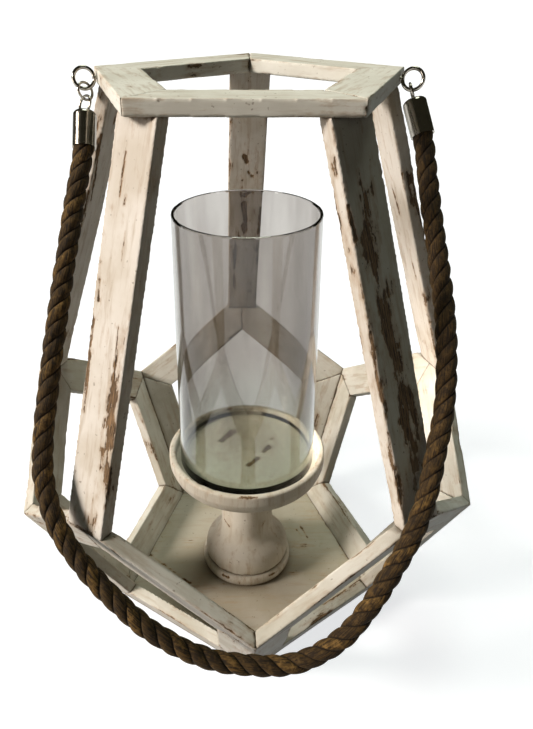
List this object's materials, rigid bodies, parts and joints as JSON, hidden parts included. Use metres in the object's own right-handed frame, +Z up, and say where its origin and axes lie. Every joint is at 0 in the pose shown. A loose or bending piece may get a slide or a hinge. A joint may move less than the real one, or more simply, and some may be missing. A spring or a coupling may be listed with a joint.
{
  "type": "hanging lantern",
  "caption": "Whitewashed open-frame candle lantern with a mitred pentagon body, glass chimney on a turned stand and a rope handle.",
  "frame": {"origin": "centre of the floor panel's underside, on the surface that the lantern stands on", "axes": "+Z up along the lantern's axis, -Y towards the side that the rope hangs over, +X to its right"},
  "size_m": [0.3734, 0.4054, 0.4528],
  "materials": {
    "ring_wood": "chalky whitewash, rubbed through at the edges",
    "leg_wood": "chalky whitewash, rubbed through at the edges",
    "frame_wood": "chalky whitewash, rubbed through at the edges",
    "floor_wood": "chalky whitewash with chips",
    "turned_wood": "chalky whitewash with chips",
    "clear_glass": "clear, slightly grey",
    "nickel_hardware": "polished dark nickel",
    "steel_fixings": "dull zinc",
    "jute_rope": "coarse twisted jute"
  },
  "bodies": {
    "frame": {"top_rail_back_left": "ring_wood", "top_rail_front_left": "ring_wood", "top_rail_front": "ring_wood", "top_rail_front_right": "ring_wood", "top_rail_back_right": "ring_wood", "leg_back": "leg_wood", "leg_left": "leg_wood", "leg_front_left": "leg_wood", "leg_front_right": "leg_wood", "leg_right": "leg_wood", "back_base_rail": "frame_wood", "back_strut_left": "frame_wood", "back_strut_right": "frame_wood", "back_apex_rail_left": "frame_wood", "back_apex_rail_right": "frame_wood", "left_base_rail": "frame_wood", "left_strut_left": "frame_wood", "left_strut_right": "frame_wood", "left_apex_rail_left": "frame_wood", "left_apex_rail_right": "frame_wood", "front_left_base_rail": "frame_wood", "front_left_strut_left": "frame_wood", "front_left_strut_right": "frame_wood", "front_left_apex_rail_left": "frame_wood", "front_left_apex_rail_right": "frame_wood", "front_right_base_rail": "frame_wood", "front_right_strut_left": "frame_wood", "front_right_strut_right": "frame_wood", "front_right_apex_rail_left": "frame_wood", "front_right_apex_rail_right": "frame_wood", "right_base_rail": "frame_wood", "right_strut_left": "frame_wood", "right_strut_right": "frame_wood", "right_apex_rail_left": "frame_wood", "right_apex_rail_right": "frame_wood", "floor_panel": "floor_wood", "pedestal_foot": "turned_wood", "pedestal_column": "turned_wood", "candle_dish": "turned_wood", "pedestal_screws": "steel_fixings", "ring_nails": "steel_fixings", "foot_nails": "steel_fixings", "floor_nails": "steel_fixings"},
    "glass": {"glass_chimney": "clear_glass"},
    "handle": {"jump_ring": "nickel_hardware", "ferrule_left": "nickel_hardware", "ferrule_right": "nickel_hardware", "rope_handle": "jute_rope"},
    "eye_left": {"screw_eye_left": "nickel_hardware"},
    "eye_right": {"screw_eye_right": "nickel_hardware"}
  },
  "joints": [
    {"name": "glass_lift", "type": "slide", "parent": "frame", "child": "glass", "axis": [0, 0, 1], "range_m": [0, 0.32]},
    {"name": "handle_swing", "type": "hinge", "parent": "frame", "child": "handle", "pos_m": [0.00071, 0.01356, 0.445], "axis": [-0.9986, 0.0523, 0], "range_deg": [0, 145]},
    {"name": "eye_left_turn", "type": "hinge", "parent": "frame", "child": "eye_left", "pos_m": [-0.11041, 0.01938, 0.445], "axis": [-0.9659, -0.2588, 0], "range_deg": [0, 145]},
    {"name": "eye_right_turn", "type": "hinge", "parent": "frame", "child": "eye_right", "pos_m": [0.11183, 0.00774, 0.445], "axis": [-0.9336, 0.3584, 0], "range_deg": [0, 145]}
  ],
  "couplings": [
    {"joint": "eye_left_turn", "follows": "handle_swing", "ratio": 1},
    {"joint": "eye_right_turn", "follows": "handle_swing", "ratio": 1}
  ]
}
